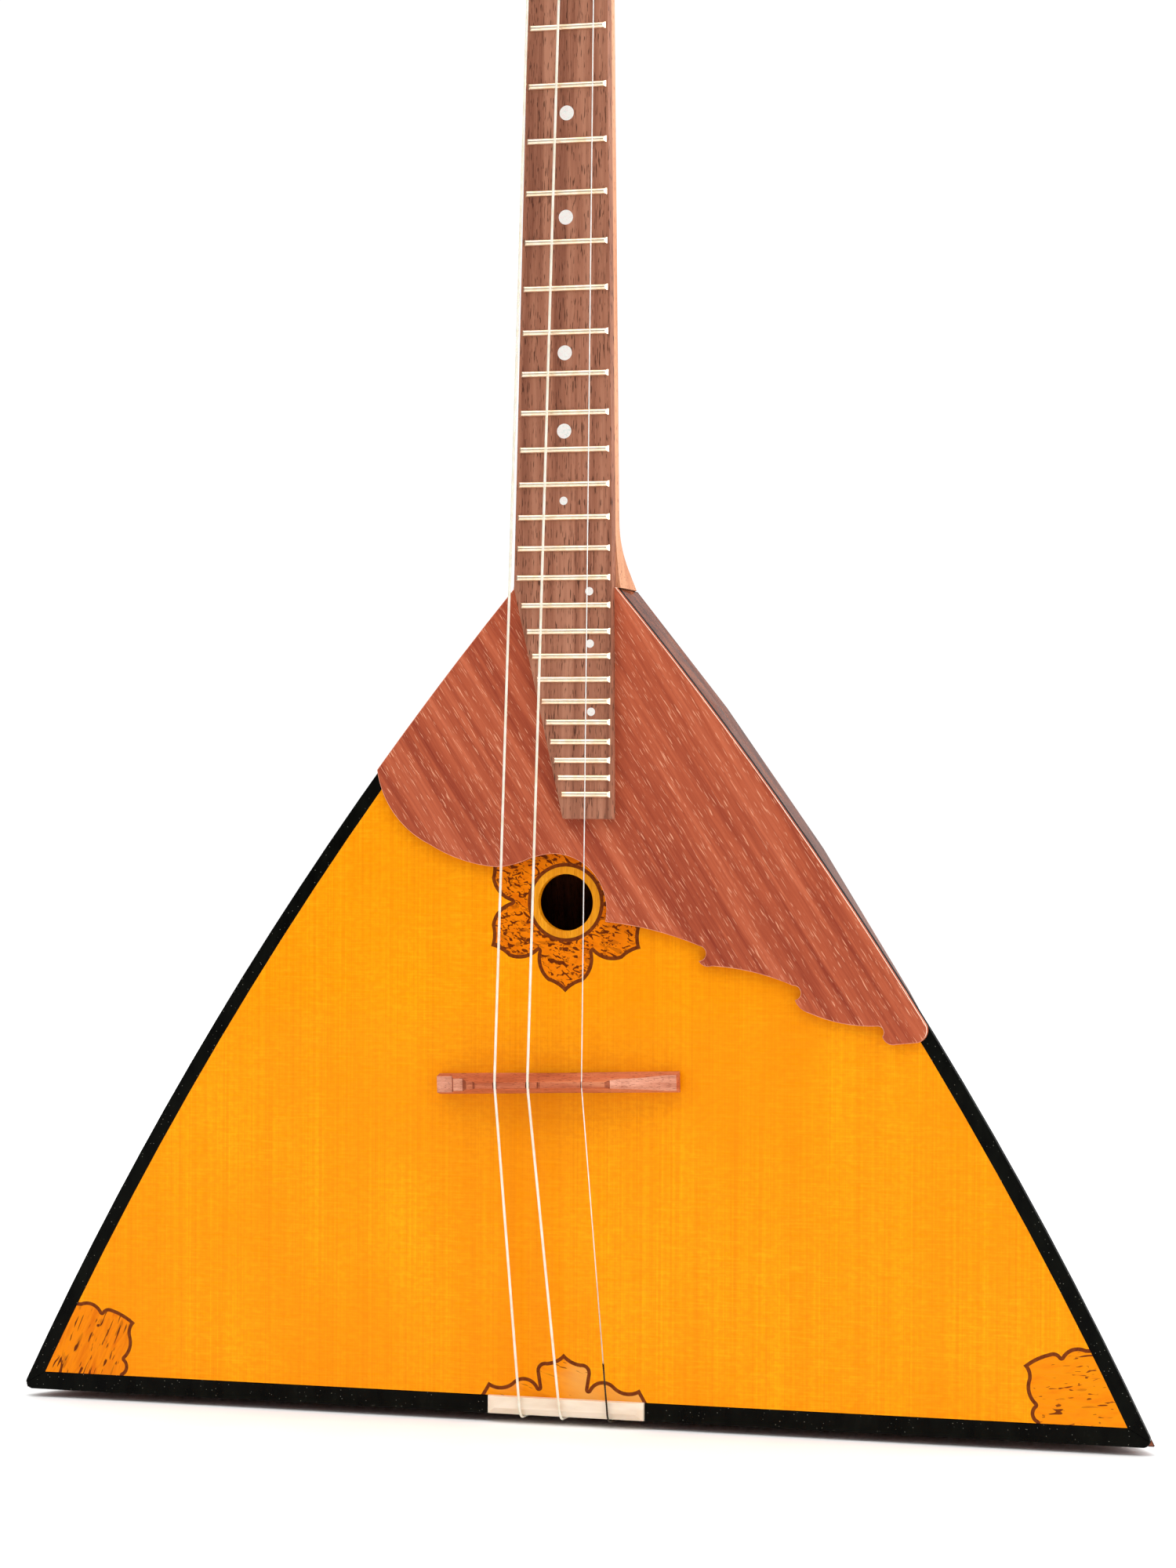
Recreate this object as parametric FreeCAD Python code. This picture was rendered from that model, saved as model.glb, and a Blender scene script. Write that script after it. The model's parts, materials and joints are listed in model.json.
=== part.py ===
"""Prima balalaika, millimetres.

The pieces are drawn with x across the front, y into the body (the soundboard's outer face is y = 0)
and z up the neck from the base. export_all() then moves them together, so that the origin is the
middle of the bottom of the whole instrument's box, under the tail pins.
"""
import FreeCAD, Part
import math
import os

os.makedirs("parts", exist_ok=True)
V = FreeCAD.Vector

# ---- driving dimensions -------------------------------------------------------------------------
SCALE = 435.0            # sounding length, nut to theoretical bridge line
BRIDGE_LINE_Z = 121.8    # theoretical bridge line above the base
NUT_Z = BRIDGE_LINE_Z + SCALE
FRET_COUNT = 26
BODY_HALF_W = 206.8      # half width of the base
BODY_MID = (122.8, 150.0)   # a point on the bowed side
BODY_TOP = (18.5, 291.0)    # where the side meets the heel
TAIL_DEPTH = 88.0        # depth of the body at the base
HEEL_DEPTH = 36.0        # depth of the body at the heel
BOARD_T = 3.0            # soundboard thickness
BINDING_W = 6.0          # binding seen from the front, along x
BINDING_BASE_W = 6.5     # binding along the base, along z
STAVE_COUNT = 7
STAVE_T = 2.4
GUARD_T = 2.8
HOLE_Z = 180.7
HOLE_R = 10.0
BOARD_TILT = 0.8         # degrees the neck leans back
BOARD_TOP_16 = -5.0      # fretboard face at the body joint
FRETBOARD_T = 5.0
INLAY_T = 0.6
FAR = 300.0              # farther from the axis than any piece of the body
BRIDGE_Z = 117.4
STRING_R = {1: 0.2, 2: 0.45, 3: 0.45}
NUT_X = {1: 10.2, 2: -1.2, 3: -12.6}
BRIDGE_X = {1: 9.6, 2: -10.0, 3: -22.0}
SADDLE_X = {1: 17.0, 2: -0.4, 3: -15.0}
HEAD_ANGLE = 12.0        # degrees the head leans back from the neck
HEAD_T = 13.0
HEAD_L = 120.0
POST_V = {2: 36.0, 3: 64.0, 1: 92.0}   # post of each string, up the head
POST_SIDE = {1: 1.0, 2: 1.0, 3: -1.0}  # side of the post that the string winds on
BUTTON_SIDE = {1: -1.0, 2: -1.0, 3: 1.0}
GEAR_TEETH = 14
GEAR_MODULE = 1.0
WORM_PITCH = math.pi * GEAR_MODULE
WORM_PITCH_R = 3.0
GEAR_PITCH_R = GEAR_TEETH * GEAR_MODULE / 2.0
WORM_OFFSET = GEAR_PITCH_R + WORM_PITCH_R
GEAR_W = 18.6            # depth of the gear's mid-plane behind the head's front
PLATE_W0 = HEAD_T
PLATE_T = 1.5
FIT = 0.05               # radial running clearance
WOOD_GLUE = 0.02         # radial clearance of pressed pins

# ---- general helpers ----------------------------------------------------------------------------
pieces = {}


def keep(name, *shapes):
    """Keep the solids of one named piece for export_all()."""
    pieces[name] = [solid for shape in shapes for solid in shape.Solids]


def export_all():
    """Write one STEP per piece, with the origin at the middle of the bottom of the whole box."""
    whole = Part.makeCompound([solid for solids in pieces.values() for solid in solids])
    room = whole.optimalBoundingBox(False)
    shift = V(-(room.XMin + room.XMax) / 2, -(room.YMin + room.YMax) / 2, -room.ZMin)
    for name, solids in pieces.items():
        moved = [solid.translated(shift) for solid in solids]
        result = moved[0] if len(moved) == 1 else Part.makeCompound(moved)
        result.exportStep("parts/%s.step" % name)
        print("%-20s %2d solids %10.1f mm3" % (name, len(moved), result.Volume), result.isValid())
    print("shift", shift)
    return shift


def box(x0, x1, y0, y1, z0, z1):
    return Part.makeBox(x1 - x0, y1 - y0, z1 - z0, V(x0, y0, z0))


def polygon_face(corners):
    return Part.Face(Part.makePolygon(corners + [corners[0]]))


def path_face(path, point):
    """Flat face. A path item is (a, b), or (a_mid, b_mid, a, b) for an arc to (a, b)."""
    edges = []
    first = here = point(*path[0])
    for item in path[1:]:
        end = point(*item[-2:])
        if len(item) == 4:
            edges.append(Part.Arc(here, point(*item[:2]), end).toShape())
        else:
            edges.append(Part.makeLine(here, end))
        here = end
    if here.distanceToPoint(first) > 1e-6:
        edges.append(Part.makeLine(here, first))
    return Part.Face(Part.Wire(edges))


def face_xz(path, y=0.0):
    return path_face(path, lambda x, z: V(x, y, z))


def plate(path, y0, y1):
    """Plate parallel to the soundboard, from depth y0 to y1."""
    return face_xz(path, y0).extrude(V(0, y1 - y0, 0))


def bar(profile, x0, x1):
    """Bar across the front with a profile of (y, z) corners."""
    return polygon_face([V(x0, y, z) for y, z in profile]).extrude(V(x1 - x0, 0, 0))


def mirror_x(shape):
    return shape.mirror(V(0, 0, 0), V(1, 0, 0))


def cylinder(radius, start, end):
    axis = end - start
    return Part.makeCylinder(radius, axis.Length, start, axis)


def revolve_profile(points, origin, axis, side):
    """Solid of revolution. points are (along the axis, radius)."""
    corners = [origin + axis * a + side * r for a, r in points]
    return polygon_face(corners).revolve(origin, axis, 360)


# ---- body outline -------------------------------------------------------------------------------


def side_centre():
    """Centre and radius of the circle through the three points of the bowed side."""
    (x1, z1), (x2, z2), (x3, z3) = (BODY_HALF_W, 0.0), BODY_MID, BODY_TOP
    d = 2 * (x1 * (z2 - z3) + x2 * (z3 - z1) + x3 * (z1 - z2))
    s1, s2, s3 = x1 * x1 + z1 * z1, x2 * x2 + z2 * z2, x3 * x3 + z3 * z3
    cx = (s1 * (z2 - z3) + s2 * (z3 - z1) + s3 * (z1 - z2)) / d
    cz = (s1 * (x3 - x2) + s2 * (x1 - x3) + s3 * (x2 - x1)) / d
    return cx, cz, math.hypot(x1 - cx, z1 - cz)


SIDE_CX, SIDE_CZ, SIDE_R = side_centre()


def half_width(z):
    return SIDE_CX + math.sqrt(SIDE_R ** 2 - (z - SIDE_CZ) ** 2)


def outline(inset, z0, z1=BODY_TOP[1]):
    """Front outline moved in by inset along x, between two heights."""
    zm = (z0 + z1) / 2
    w0, wm, w1 = (half_width(z) - inset for z in (z0, zm, z1))
    return [(-w0, z0), (w0, z0), (wm, zm, w1, z1), (-w1, z1), (-wm, zm, -w0, z0)]


# ---- shell --------------------------------------------------------------------------------------
STATIONS = [0.0, 50.0, 100.0, 150.0, 200.0, 250.0, BODY_TOP[1]]
BACK_SLOPE = 38.0        # how much depth the back would lose if it stayed as steep as at the base
REST_PLANED = 0.05       # taken off the lowest facet of the middle stave, on which the body rests


def section(z):
    """Outer corners of the stave arch at height z, from left edge to right edge, as (x, y)."""
    t = z / BODY_TOP[1]
    depth = TAIL_DEPTH - BACK_SLOPE * t - (TAIL_DEPTH - HEEL_DEPTH - BACK_SLOPE) * t * t - BOARD_T
    power = 1.0 - 0.7 * t   # round at the tail, nearly square at the heel
    corners = []
    for k in range(STAVE_COUNT + 1):
        a = math.pi * (1 - k / STAVE_COUNT)
        c, s = math.cos(a), max(math.sin(a), 0.0)
        x = half_width(z) * math.copysign(abs(c) ** power, c)
        corners.append((x, BOARD_T + depth * (s ** power if 0 < k < STAVE_COUNT else 0.0)))
    return corners


def inner_section(z):
    """The same corners moved in by the stave thickness."""
    outer = section(z)
    lines = []
    for (xa, ya), (xb, yb) in zip(outer, outer[1:]):
        length = math.hypot(xb - xa, yb - ya)
        nx, ny = (yb - ya) / length, -(xb - xa) / length
        lines.append((xa + nx * STAVE_T, ya + ny * STAVE_T, (xb - xa) / length, (yb - ya) / length))
    inner = []
    for k in range(STAVE_COUNT + 1):
        if k in (0, STAVE_COUNT):
            px, py, dx, dy = lines[0 if k == 0 else -1]
            s = (BOARD_T - py) / dy
            inner.append((px + dx * s, BOARD_T))
            continue
        px, py, dx, dy = lines[k - 1]
        qx, qy, ex, ey = lines[k]
        s = ((qx - px) * ey - (qy - py) * ex) / (dx * ey - dy * ex)
        inner.append((px + dx * s, py + dy * s))
    return inner


def loft_sections(rings):
    """Ruled solid through polygons given as (z, [(x, y), ...])."""
    wires = []
    for z, ring in rings:
        points = [V(x, y, z) for x, y in ring]
        wires.append(Part.makePolygon(points + [points[0]]))
    return Part.makeLoft(wires, True, True)


def make_stave(k):
    rings = []
    for z in STATIONS:
        outer, inner = section(z), inner_section(z)
        rings.append((z, [outer[k], outer[k + 1], inner[k + 1], inner[k]]))
    return loft_sections(rings)


cavity = loft_sections([(z, inner_section(z)) for z in STATIONS])
staves = [make_stave(k) for k in range(STAVE_COUNT)]

# the lowest facet of the middle stave is planed flat
MIDDLE = STAVE_COUNT // 2
rest_low, rest_high = (section(z)[MIDDLE][1] - REST_PLANED for z in STATIONS[:2])
rest_slope = (rest_high - rest_low) / STATIONS[1]
rest_line = [(rest_low + rest_slope * z, z) for z in (-FAR, FAR)]
planed_off = bar(rest_line + [(FAR, FAR), (FAR, -FAR)], -FAR, FAR)
staves[MIDDLE] = staves[MIDDLE].cut(planed_off)

# the side rib is the wedge of the outer stave next to the heel: it tapers from full depth to nothing
RIB_LOW_Z = 176.0
RIB_DEPTH = 27.0
rib_zone = bar([(BOARD_T - 1, RIB_LOW_Z), (RIB_DEPTH, BODY_TOP[1] + 1),
                (BOARD_T - 1, BODY_TOP[1] + 1)], -FAR, FAR)
rib_left = staves[0].common(rib_zone)
rib_right = staves[-1].common(rib_zone)
staves[0] = staves[0].cut(rib_zone)
staves[-1] = staves[-1].cut(rib_zone)
for number, stave in enumerate(staves, 1):
    keep("back_stave_%d" % number, stave)
keep("side_rib_left", rib_left)
keep("side_rib_right", rib_right)

# ---- inner frame --------------------------------------------------------------------------------
TAIL_BOARD_T = 8.0
NECK_BLOCK_Z = 262.0
LINING_W = 7.0
LINING_H = 10.0
tail_board = cavity.common(box(-FAR, FAR, 0, FAR, 0, TAIL_BOARD_T))
neck_block = cavity.common(box(-FAR, FAR, 0, FAR, NECK_BLOCK_Z, BODY_TOP[1]))
open_zone = cavity.common(box(-FAR, FAR, 0, FAR, TAIL_BOARD_T, NECK_BLOCK_Z))
rim = plate(outline(0, 0), BOARD_T, BOARD_T + LINING_H).cut(
    plate(outline(BINDING_W + LINING_W, TAIL_BOARD_T + LINING_W), BOARD_T - 1, BOARD_T + LINING_H + 1))
linings = open_zone.common(rim)
base_zone = box(-FAR, FAR, 0, FAR, TAIL_BOARD_T, TAIL_BOARD_T + LINING_W)
CORNER_X = 150.0
CORNER_TOP_Z = 34.0
TAIL_BLOCK_X = 30.0
TAIL_BLOCK_DEPTH = 43.0
TAIL_BLOCK_H = 12.0
corner_right = open_zone.common(box(CORNER_X, FAR, 0, FAR, TAIL_BOARD_T, CORNER_TOP_Z))
corner_left = mirror_x(corner_right)
tail_block = box(-TAIL_BLOCK_X, TAIL_BLOCK_X, BOARD_T, BOARD_T + TAIL_BLOCK_DEPTH,
                 TAIL_BOARD_T, TAIL_BOARD_T + TAIL_BLOCK_H)
blocks = corner_right.fuse(corner_left).fuse(tail_block)
lining_side = linings.cut(base_zone).cut(blocks)
lining_base = linings.common(base_zone).cut(blocks)
keep("corner_blocks", corner_left, corner_right)
keep("lining_left", lining_side.common(box(-FAR, 0, 0, FAR, 0, FAR)))
keep("lining_right", lining_side.common(box(0, FAR, 0, FAR, 0, FAR)))
keep("lining_bottom", lining_base)
BRACE_PLACES = (78.0, 150.0, 212.0)
BRACE_W = 6.0
BRACE_H = 8.0
braces = []
for z in BRACE_PLACES:
    brace = open_zone.common(box(-FAR, FAR, BOARD_T, BOARD_T + BRACE_H, z - BRACE_W / 2, z + BRACE_W / 2))
    braces.append(brace.cut(linings))
keep("top_braces", *braces)

# ---- soundboard, binding and saddle -------------------------------------------------------------
CORNER_R = 2.5
SADDLE_X0 = -27.4
SADDLE_X1 = 29.4
SADDLE_TOP_Y = -3.0

full = plate(outline(0, 0), 0, BOARD_T)
corner_edges = [e for e in full.Edges if abs(abs(e.CenterOfMass.x) - BODY_HALF_W) < 1e-3]
full = full.makeFillet(CORNER_R, corner_edges)
inner_board = plate(outline(BINDING_W, BINDING_BASE_W), 0, BOARD_T)
ring = full.cut(inner_board)
inner_corner_x = half_width(BINDING_BASE_W) - BINDING_W
base_strip = plate([(-inner_corner_x, BINDING_BASE_W), (inner_corner_x, BINDING_BASE_W),
                    (BODY_HALF_W + 4, -1.0), (-BODY_HALF_W - 4, -1.0)], -1, BOARD_T + 1)
base_ring = ring.common(base_strip)
side_ring = ring.cut(base_strip)
keep("binding_left", side_ring.common(box(-FAR, 0, -1, 10, -1, FAR)))
keep("binding_right", side_ring.common(box(0, FAR, -1, 10, -1, FAR)))
keep("binding_bottom_left", base_ring.common(box(-FAR, SADDLE_X0, -1, 10, -1, FAR)))
keep("binding_bottom_right", base_ring.common(box(SADDLE_X1, FAR, -1, 10, -1, FAR)))


# ---- inlays -------------------------------------------------------------------------------------
LINE_W = 1.3
RING_R = 12.6
DARK_RING_R = 13.9
PETAL_TIP_R = 31.6
PETAL_NOTCH_R = 19.8
BELOW = 4.0              # flowers on the edge are drawn this far past it and trimmed


def round_hole(angle, radius):
    return math.cos(angle) * radius, HOLE_Z + math.sin(angle) * radius


def petal_path():
    """Six ogee petals round the sound hole."""
    path = [round_hole(0.0, PETAL_NOTCH_R)]
    for k in range(6):
        tip = math.radians(60 * k + 30)
        steps = [(-19.5, 26.4, -13.0, 28.4), (-6.0, 29.2, 0.0, PETAL_TIP_R),
                 (6.0, 29.2, 13.0, 28.4), (19.5, 26.4, 30.0, PETAL_NOTCH_R)]
        for turn_a, radius_a, turn_b, radius_b in steps:
            middle = round_hole(tip + math.radians(turn_a), radius_a)
            end = round_hole(tip + math.radians(turn_b), radius_b)
            path.append(middle + end)
    return path


def tail_path():
    """Half flower that stands on the bottom binding."""
    z0 = BINDING_BASE_W
    right = [(32.7, z0 - BELOW), (27.6, z0 + 4.6), (23.4, z0 + 3.3, 19.0, z0 + 4.9),
             (14.8, z0 + 6.9, 9.1, z0 + 3.5), (9.9, z0 + 8.6), (9.2, z0 + 11.5, 6.2, z0 + 12.6),
             (2.8, z0 + 13.6, 0.0, z0 + 15.8)]
    path = list(right)
    for k in range(len(right) - 1, 0, -1):
        end = (-right[k - 1][-2], right[k - 1][-1])
        path.append((-right[k][0], right[k][1]) + end if len(right[k]) == 4 else end)
    return path


def corner_path():
    """Quarter flower in the right corner; the left one is its mirror image."""
    return [(167.4, 2.5), (220.0, 2.5), (196.0, 33.0), (183.6, 32.4), (178.4, 32.3, 175.3, 29.4),
            (173.8, 30.6, 171.4, 30.6), (166.4, 28.6, 162.3, 25.8), (163.7, 23.8, 163.9, 21.4),
            (163.7, 16.7, 166.2, 12.6), (164.9, 9.6, 167.0, 6.4)]


def disc(radius):
    return Part.makeCylinder(radius, INLAY_T, V(0, 0, HOLE_Z), V(0, 1, 0))


def flower(path):
    """The whole flower and its fill inside the dark line, both trimmed to the soundboard."""
    face = face_xz(path)
    fill = face.makeOffset2D(-LINE_W, 0)
    whole = face.extrude(V(0, INLAY_T, 0)).common(board_zone)
    return whole, fill.extrude(V(0, INLAY_T, 0)).common(board_zone)


board_zone = plate(outline(BINDING_W, BINDING_BASE_W), -1, BOARD_T + 1)
hole = Part.makeCylinder(HOLE_R, 30, V(0, -10, HOLE_Z), V(0, 1, 0))
rosette, petals = flower(petal_path())
tail_flower, tail_fill = flower(tail_path())
corner_flower, corner_fill = flower(corner_path())
soundboard = inner_board.cut(hole)
for pocket in (rosette, tail_flower, corner_flower, mirror_x(corner_flower)):
    soundboard = soundboard.cut(pocket)
keep("soundboard", soundboard)
keep("soundhole_ring", disc(RING_R).cut(hole))
keep("rosette_petals", petals.cut(disc(DARK_RING_R)))
keep("tail_inlay", tail_fill)
keep("corner_inlay_right", corner_fill)
keep("corner_inlay_left", mirror_x(corner_fill))
corner_line = corner_flower.cut(corner_fill)
keep("inlay_lines", disc(DARK_RING_R).cut(disc(RING_R)), rosette.cut(petals), tail_flower.cut(tail_fill),
     corner_line, mirror_x(corner_line))

# ---- tail saddle --------------------------------------------------------------------------------
PIN_Y = 17.0
PIN_R = 1.6
PIN_HEAD_R = 2.6
PIN_DROP = 2.6           # how far the shank stands out of the base
PIN_L = 14.0             # how deep it goes in
SADDLE_LIP = 0.1         # how far the saddle's upper part laps over the soundboard
SADDLE_BEVEL_X = 4.5
SADDLE_BEVEL_Y = 2.2
saddle = bar([(SADDLE_TOP_Y, BINDING_BASE_W + SADDLE_LIP), (SADDLE_TOP_Y, 2.6), (SADDLE_TOP_Y + 1.7, 0.3),
              (BOARD_T, 0.0), (BOARD_T, BINDING_BASE_W), (0.0, BINDING_BASE_W),
              (0.0, BINDING_BASE_W + SADDLE_LIP)], SADDLE_X0, SADDLE_X1)
for x_end, sign in ((SADDLE_X0, 1), (SADDLE_X1, -1)):
    bevel = polygon_face([V(x_end - sign, SADDLE_TOP_Y - 1, -1),
                          V(x_end + sign * SADDLE_BEVEL_X, SADDLE_TOP_Y - 1, -1),
                          V(x_end - sign, SADDLE_TOP_Y + SADDLE_BEVEL_Y, -1)])
    saddle = saddle.cut(bevel.extrude(V(0, 0, 2 * BINDING_BASE_W)))
keep("tail_saddle", saddle)

# ---- pickguard ----------------------------------------------------------------------------------
TONGUE_Z = 210.2
TONGUE_LEFT = 0.6        # left corner of the tongue's end; its left edge slants up to the neck
TONGUE_RIGHT = 18.5
NUT_HALF = 13.5          # half width of the neck at the nut


def board_half(z):
    """Half width of the fretboard."""
    return NUT_HALF + (NUT_Z - z) * 4.4 / (NUT_Z - BODY_TOP[1])


def guard_outline():
    left_end_z, right_end_z = 227.0, 140.5
    left_mid_z, right_mid_z = (BODY_TOP[1] + left_end_z) / 2, (BODY_TOP[1] + right_end_z) / 2
    return [
        (BODY_TOP[0], BODY_TOP[1]), (-BODY_TOP[0], BODY_TOP[1]),
        (-half_width(left_mid_z), left_mid_z, -half_width(left_end_z), left_end_z),
        (-63.8, 212.8, -49.4, 200.6), (-37.2, 195.2, -24.7, 192.9), (-18.0, 194.0, -12.6, 196.0),
        (-8.4, 197.2, -4.0, 197.8), (10.8, 191.2, 15.2, 174.2),
        (34.5, 171.0, 49.3, 166.3), (51.5, 164.0, 48.9, 161.1), (50.4, 159.6, 53.6, 159.4),
        (69.4, 157.3, 82.4, 153.2), (85.2, 150.4, 83.1, 148.2), (84.9, 145.6, 88.5, 143.7),
        (98.6, 140.7, 111.7, 139.8), (114.2, 138.4, 113.8, 136.4), (115.2, 134.3, 118.6, 133.7),
        (126.2, 134.5), (128.6, 136.4, half_width(right_end_z), right_end_z),
        (half_width(right_mid_z), right_mid_z, BODY_TOP[0], BODY_TOP[1])]


top_half = board_half(BODY_TOP[1])
tongue_path = [(-top_half, BODY_TOP[1]), (TONGUE_LEFT, TONGUE_Z),
               (TONGUE_RIGHT, TONGUE_Z), (top_half, BODY_TOP[1])]
tongue_hole = [(-top_half, BODY_TOP[1] + 2)] + tongue_path + [(top_half, BODY_TOP[1] + 2)]
guard = plate(guard_outline(), -GUARD_T, 0)
guard = guard.cut(plate(tongue_hole, -GUARD_T - 1, 1))
keep("pickguard", *guard.Solids)

# ---- neck, fretboard and head -------------------------------------------------------------------
FRET_16_Z = BRIDGE_LINE_Z + SCALE / 2 ** (16 / 12)
TILT = math.tan(math.radians(BOARD_TILT))
NUT_W = 4.5
NECK_END_Z = NUT_Z + 6.0
HEAD_START = 5.5         # the head's front face starts this far above the nut's lower edge


def board_top(z):
    """y of the fretboard's playing face."""
    return BOARD_TOP_16 + (z - FRET_16_Z) * TILT


def board_under(z):
    return max(0.0, board_top(z) + FRETBOARD_T)


def on_board(shape, x, z):
    """Put a shape made at the origin, facing -y, on the fretboard's face."""
    turned = shape.copy()
    turned.rotate(V(0, 0, 0), V(1, 0, 0), -BOARD_TILT)
    turned.translate(V(x, board_top(z), z))
    return turned


def fret_z(n):
    return BRIDGE_LINE_Z + SCALE / 2 ** (n / 12)


board_slab = bar([(0, TONGUE_Z), (board_top(TONGUE_Z), TONGUE_Z), (board_top(NUT_Z), NUT_Z),
                  (board_under(NUT_Z), NUT_Z), (board_under(FRET_16_Z), FRET_16_Z)], -FAR, FAR)
board_plan = [(-NUT_HALF, NUT_Z)] + tongue_path + [(NUT_HALF, NUT_Z)]
fretboard = board_slab.common(plate(board_plan, -20, 20))

# frets: a rounded crown on a thin tang that is pressed into a slot
FRET_W = 2.2
FRET_H = 1.05
TANG_W = 0.6
TANG_H = 1.7
FRET_SET_IN = 0.7
crown_face = Part.Face(Part.Wire([
    Part.makeLine(V(0, 0, -FRET_W / 2), V(0, 0, FRET_W / 2)),
    Part.Arc(V(0, 0, FRET_W / 2), V(0, -FRET_H, 0), V(0, 0, -FRET_W / 2)).toShape()]))
frets = []
slots = []
for n in range(1, FRET_COUNT + 1):
    z = fret_z(n)
    right = board_half(z) - FRET_SET_IN
    left = -right
    if z < BODY_TOP[1]:
        share = (BODY_TOP[1] - z) / (BODY_TOP[1] - TONGUE_Z)
        right = top_half + (TONGUE_RIGHT - top_half) * share - FRET_SET_IN
        left = -top_half + (TONGUE_LEFT + top_half) * share + FRET_SET_IN + 0.3
    length = right - left
    bevelled = polygon_face([V(0, 0.5, -FRET_W), V(0, 0, -FRET_W), V(FRET_H, -FRET_H * 1.2, -FRET_W),
                             V(length - FRET_H, -FRET_H * 1.2, -FRET_W), V(length, 0, -FRET_W),
                             V(length, 0.5, -FRET_W)]).extrude(V(0, 0, 2 * FRET_W))
    crown = crown_face.extrude(V(length, 0, 0)).common(bevelled)
    tang = box(TANG_W, length - TANG_W, 0, TANG_H, -TANG_W / 2, TANG_W / 2)
    slots.append(on_board(tang, left, z))
    frets.append(on_board(crown.fuse(tang), left, z))

DOT_T = 1.2
BIG_DOT_R = 2.6
SMALL_DOT_R = 1.45
dots = []
for n, x, radius in ((2, 0.0, BIG_DOT_R), (5, 0.0, BIG_DOT_R), (7, 0.0, BIG_DOT_R), (10, 0.0, BIG_DOT_R),
                     (12, 0.0, BIG_DOT_R), (14, 0.0, SMALL_DOT_R), (17, 9.6, SMALL_DOT_R),
                     (19, 10.0, SMALL_DOT_R), (22, 10.6, SMALL_DOT_R)):
    dot = Part.makeCylinder(radius, DOT_T, V(0, 0, 0), V(0, 1, 0))
    dots.append(on_board(dot, x, (fret_z(n) + fret_z(n - 1)) / 2))
fretboard = fretboard.cut(Part.makeCompound(slots + dots))
keep("fretboard", fretboard)
keep("frets", *frets)
keep("position_dots", *dots)


def d_section(a, b, c, d, back):
    """Wire through two front corners, two side ends and the middle of a round back."""
    round_back = Part.Arc(c, back, d).toShape()
    return Part.Wire([Part.makeLine(a, b), Part.makeLine(b, c), round_back, Part.makeLine(d, a)])


def neck_section(z, half, straight, back):
    """D-shaped section: flat under the fretboard, straight sides, round back."""
    top = board_under(z)
    return d_section(V(-half, top, z), V(half, top, z), V(half, top + straight, z),
                     V(-half, top + straight, z), V(0, back, z))


HEEL_TOP_Z = 316.0
heel_wires = [neck_section(z, half, straight, back) for z, half, straight, back in (
    (BODY_TOP[1], 19.6, 21.0, HEEL_DEPTH + 1.0), (295.5, 18.9, 16.5, 32.5), (302.0, 18.2, 9.5, 25.4),
    (309.0, board_half(309.0), 5.6, 21.6), (HEEL_TOP_Z, board_half(HEEL_TOP_Z), 4.2, 20.4))]
heel = Part.makeLoft(heel_wires, True, False)
shaft = Part.makeLoft([neck_section(HEEL_TOP_Z, board_half(HEEL_TOP_Z), 4.2, 20.4),
                       neck_section(NECK_END_Z, board_half(NECK_END_Z), 4.0, 19.2)], True, True)

HEAD_ORIGIN = V(0, board_under(NUT_Z) + 0.6, NUT_Z + HEAD_START)
SIN, COS = math.sin(math.radians(HEAD_ANGLE)), math.cos(math.radians(HEAD_ANGLE))
HEAD_UP = V(0, SIN, COS)
HEAD_BACK = V(0, COS, -SIN)
ACROSS = V(1, 0, 0)


def head_point(u, v, w):
    """Point on the head: u across, v up the head, w back from its front face."""
    return HEAD_ORIGIN + ACROSS * u + HEAD_UP * v + HEAD_BACK * w


def to_head(shape):
    """Move a shape made with x across, z up and y back onto the leaning head."""
    turned = shape.copy()
    turned.rotate(V(0, 0, 0), V(1, 0, 0), -HEAD_ANGLE)
    turned.translate(HEAD_ORIGIN)
    return turned


HEAD_HALF = 25.0
head_path = [(-13.5, -12.0), (13.5, -12.0), (13.6, 2.0), (14.4, 11.5, 20.0, 17.5),
             (24.0, 21.5, HEAD_HALF, 27.0), (22.6, 100.0), (21.6, 105.8, 17.0, 106.6),
             (14.2, 107.4, 13.6, 110.6), (9.2, 117.8, 0.0, HEAD_L), (-9.2, 117.8, -13.6, 110.6),
             (-14.2, 107.4, -17.0, 106.6), (-21.6, 105.8, -22.6, 100.0), (-HEAD_HALF, 27.0),
             (-24.0, 21.5, -20.0, 17.5), (-14.4, 11.5, -13.6, 2.0)]
VENEER_T = 1.0
HEAD_LOW_V = 8.0         # below this the head's square back blends into the round neck
BLEND_Z = 548.0
BLEND_HALF = 14.3
BLEND_FRONT = -20.0
blend_side = board_under(BLEND_Z) + 4.0
blend_low = d_section(V(-BLEND_HALF, BLEND_FRONT, BLEND_Z), V(BLEND_HALF, BLEND_FRONT, BLEND_Z),
                      V(BLEND_HALF, blend_side, BLEND_Z), V(-BLEND_HALF, blend_side, BLEND_Z),
                      V(0, 19.3, BLEND_Z))
blend_high = d_section(head_point(-BLEND_HALF, HEAD_LOW_V, BLEND_FRONT),
                       head_point(BLEND_HALF, HEAD_LOW_V, BLEND_FRONT),
                       head_point(BLEND_HALF, HEAD_LOW_V, HEAD_T - 0.2),
                       head_point(-BLEND_HALF, HEAD_LOW_V, HEAD_T - 0.2),
                       head_point(0, HEAD_LOW_V, HEAD_T + 0.1))
blend = Part.makeLoft([blend_low, blend_high], True, True)
head_slab = to_head(plate(head_path, VENEER_T, HEAD_T))
above = to_head(box(-FAR, FAR, -FAR, FAR, HEAD_LOW_V, FAR))
head = head_slab.common(above).fuse(head_slab.common(blend))
front_cut = box(-FAR, FAR, -FAR, board_under(NUT_Z), HEEL_TOP_Z, NECK_END_Z)
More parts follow.
